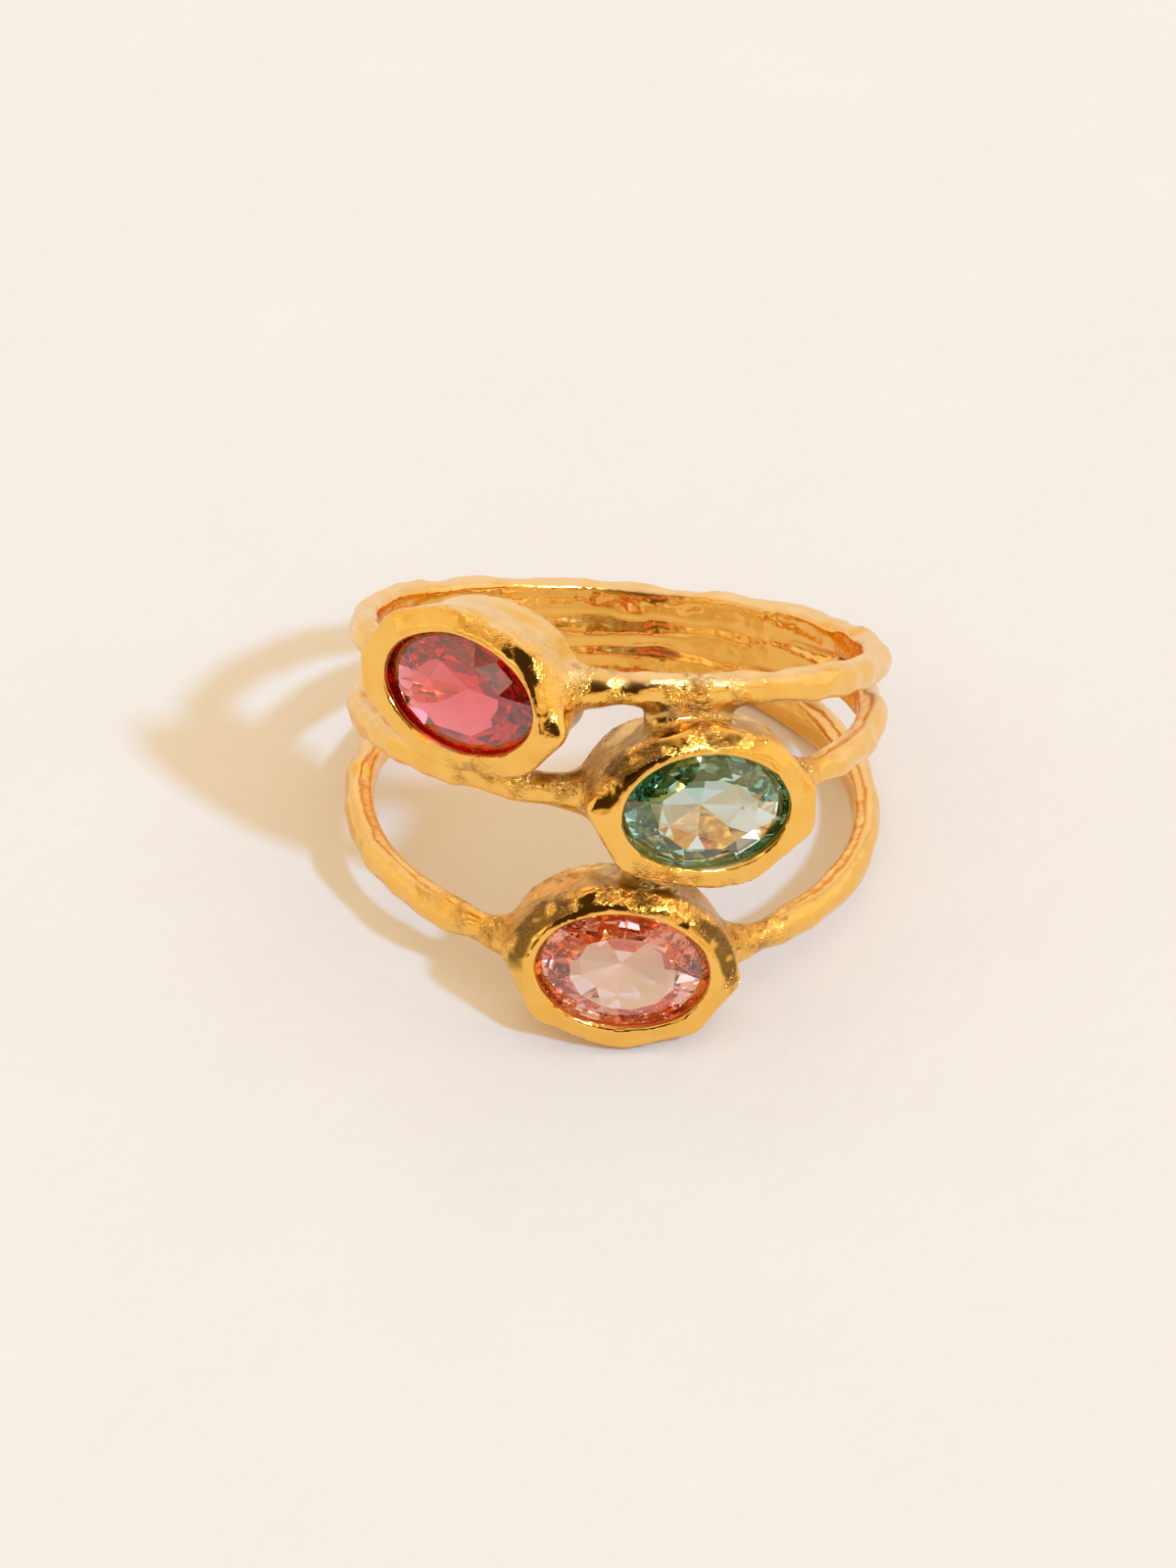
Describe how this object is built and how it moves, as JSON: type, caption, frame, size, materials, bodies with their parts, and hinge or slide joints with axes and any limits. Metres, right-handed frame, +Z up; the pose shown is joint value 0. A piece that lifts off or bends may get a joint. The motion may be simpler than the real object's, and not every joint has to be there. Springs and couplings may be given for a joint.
{
  "type": "finger ring",
  "caption": "Gold finger ring of hammered wire bands, fused at the back and fanned out at the front, where each carries an oval faceted stone in a closed rim.",
  "frame": {"origin": "on the surface that the ring lies on, under the centre of its bounding box", "axes": "+Z up from that surface, -Y towards the side where the stones show, +X to the right as seen from there"},
  "size_m": [0.02, 0.0224, 0.0156],
  "materials": {
    "gold": "polished gold over hammered metal",
    "red_stone": "polished facets",
    "aqua_stone": "polished facets",
    "pink_stone": "polished facets"
  },
  "bodies": {
    "root": {"ring_bands_and_settings": "gold", "red_stone": "red_stone", "aqua_stone": "aqua_stone", "pink_stone": "pink_stone"}
  },
  "joints": []
}
